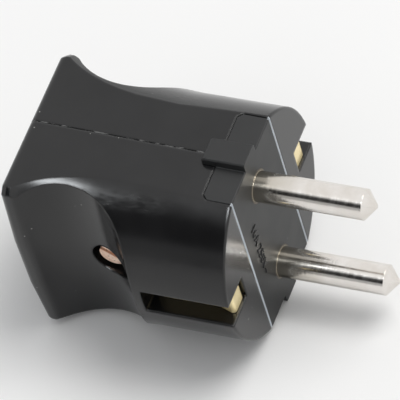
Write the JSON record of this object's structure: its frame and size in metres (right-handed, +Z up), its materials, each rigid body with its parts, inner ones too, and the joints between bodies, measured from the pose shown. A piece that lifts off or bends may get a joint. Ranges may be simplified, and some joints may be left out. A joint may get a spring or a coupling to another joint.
{
  "type": "rewireable earthed mains plug",
  "caption": "Rewireable earthed mains plug: round pins, side earth contacts, split black housing with finger scoops and a cord inlet at the rear.",
  "frame": {"origin": "middle of the front face, between the pins, where the plug meets the socket", "axes": "+X along the pins, out of the front face; +Y towards the nut-side shell; +Z up, from the neutral pin to the line pin; the plug lies on one flat"},
  "size_m": [0.0548, 0.0358, 0.0344],
  "materials": {
    "housing": "glossy black moulded",
    "carrier": "glossy black moulded",
    "pin": "bright nickel plated",
    "earth_brass": "bright rolled",
    "screw_brass": "turned",
    "steel": "zinc plated",
    "clamp": "moulded"
  },
  "bodies": {
    "root": {"screw_side_shell": "housing", "nut_side_shell": "housing", "pin_carrier": "carrier", "line_pin": "pin", "neutral_pin": "pin", "earth_strip": "earth_brass", "line_terminal_screw": "steel", "neutral_terminal_screw": "steel", "earth_washer": "earth_brass", "earth_terminal_screw": "steel", "housing_screw": "screw_brass", "housing_nut": "screw_brass", "cord_clamp": "clamp", "cord_clamp_screws": "steel"}
  },
  "joints": []
}
